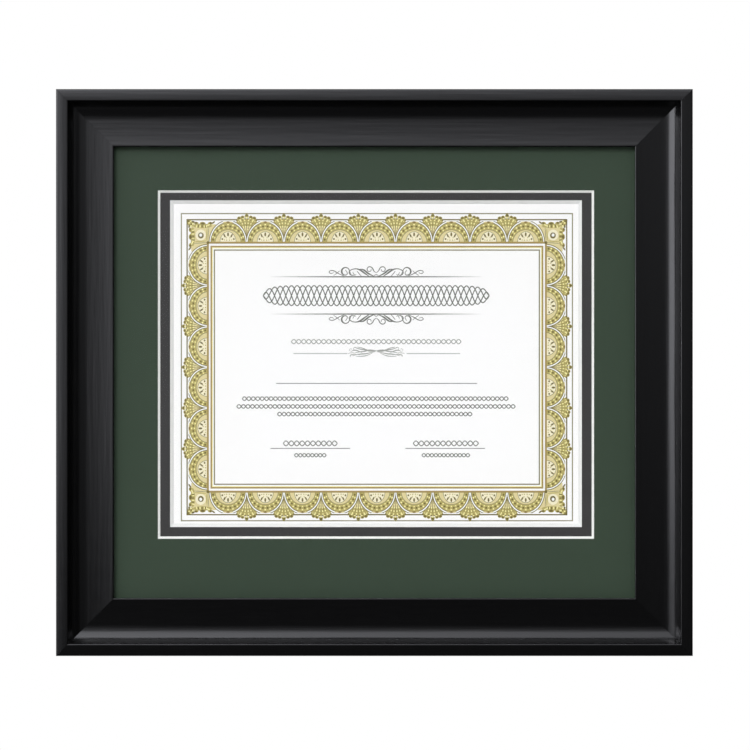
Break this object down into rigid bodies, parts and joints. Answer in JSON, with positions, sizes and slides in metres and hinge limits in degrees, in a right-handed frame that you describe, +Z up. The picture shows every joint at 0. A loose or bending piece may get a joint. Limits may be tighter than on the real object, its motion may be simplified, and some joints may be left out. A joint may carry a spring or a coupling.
{
  "type": "certificate frame",
  "caption": "Wall frame with a scooped black wood moulding, glass, double bevelled mats in green and charcoal, a bordered letter-size certificate, turn-button back and sawtooth hanger.",
  "frame": {"origin": "the middle notch of the sawtooth hanger, where the wall nail bears, half way through the strip's thickness", "axes": "+X runs along the frame's width, to the right seen from the front; +Y points from the front to the wall; +Z is up"},
  "size_m": [0.4074, 0.0299, 0.3628],
  "materials": {
    "black_moulding": "satin black lacquer on wood, faint brushed grain along each rail",
    "glass": "clear picture glass",
    "green_mat": "matte dark green mat board with a white core",
    "charcoal_mat": "matte charcoal mat board with a white core",
    "certificate_paper": "smooth white paper with a gold lace border print",
    "clear_film": "clear polyester film",
    "white_tape": "gummed linen tape",
    "mount_board": "plain white mount board",
    "foam_board": "white foam board",
    "hardboard": "brown hardboard, smooth face out",
    "black_steel": "black finished pressed steel",
    "zinc_screw": "zinc plated",
    "brassed_steel": "brass plated steel",
    "bare_steel": "bare steel",
    "black_rubber": "soft black rubber"
  },
  "bodies": {
    "frame": {"glass_pane": "glass", "upper_mat": "green_mat", "lower_mat": "charcoal_mat", "mat_hinge_tape": "white_tape", "certificate_sheet": "certificate_paper", "corner_pocket_top_left": "clear_film", "corner_pocket_top_right": "clear_film", "corner_pocket_bottom_left": "clear_film", "corner_pocket_bottom_right": "clear_film", "mount_board": "mount_board", "filler_board": "foam_board", "backing_board": "hardboard", "button_screws": "zinc_screw", "sawtooth_hanger": "brassed_steel", "hanger_nails": "brassed_steel", "bumper_left": "black_rubber", "bumper_right": "black_rubber", "v_nails": "bare_steel", "rail_bottom": "black_moulding", "rail_top": "black_moulding", "rail_left": "black_moulding", "rail_right": "black_moulding"},
    "turn_button_top_left": {"turn_button_top_left": "black_steel"},
    "turn_button_top_right": {"turn_button_top_right": "black_steel"},
    "turn_button_bottom_left": {"turn_button_bottom_left": "black_steel"},
    "turn_button_bottom_right": {"turn_button_bottom_right": "black_steel"},
    "turn_button_left_upper": {"turn_button_left_upper": "black_steel"},
    "turn_button_left_lower": {"turn_button_left_lower": "black_steel"},
    "turn_button_right_upper": {"turn_button_right_upper": "black_steel"},
    "turn_button_right_lower": {"turn_button_right_lower": "black_steel"}
  },
  "joints": [
    {"name": "turn_top_left", "type": "hinge", "parent": "frame", "child": "turn_button_top_left", "pos_m": [-0.10187, -0.0028, -0.0038], "axis": [0, 1, 0], "continuous": true},
    {"name": "turn_top_right", "type": "hinge", "parent": "frame", "child": "turn_button_top_right", "pos_m": [0.10187, -0.0028, -0.0038], "axis": [0, 1, 0], "continuous": true},
    {"name": "turn_bottom_left", "type": "hinge", "parent": "frame", "child": "turn_button_bottom_left", "pos_m": [-0.10187, -0.0028, -0.322], "axis": [0, 1, 0], "continuous": true},
    {"name": "turn_bottom_right", "type": "hinge", "parent": "frame", "child": "turn_button_bottom_right", "pos_m": [0.10187, -0.0028, -0.322], "axis": [0, 1, 0], "continuous": true},
    {"name": "turn_left_upper", "type": "hinge", "parent": "frame", "child": "turn_button_left_upper", "pos_m": [-0.18145, -0.0028, -0.0722], "axis": [0, 1, 0], "continuous": true},
    {"name": "turn_left_lower", "type": "hinge", "parent": "frame", "child": "turn_button_left_lower", "pos_m": [-0.18145, -0.0028, -0.2536], "axis": [0, 1, 0], "continuous": true},
    {"name": "turn_right_upper", "type": "hinge", "parent": "frame", "child": "turn_button_right_upper", "pos_m": [0.18145, -0.0028, -0.0722], "axis": [0, 1, 0], "continuous": true},
    {"name": "turn_right_lower", "type": "hinge", "parent": "frame", "child": "turn_button_right_lower", "pos_m": [0.18145, -0.0028, -0.2536], "axis": [0, 1, 0], "continuous": true}
  ]
}
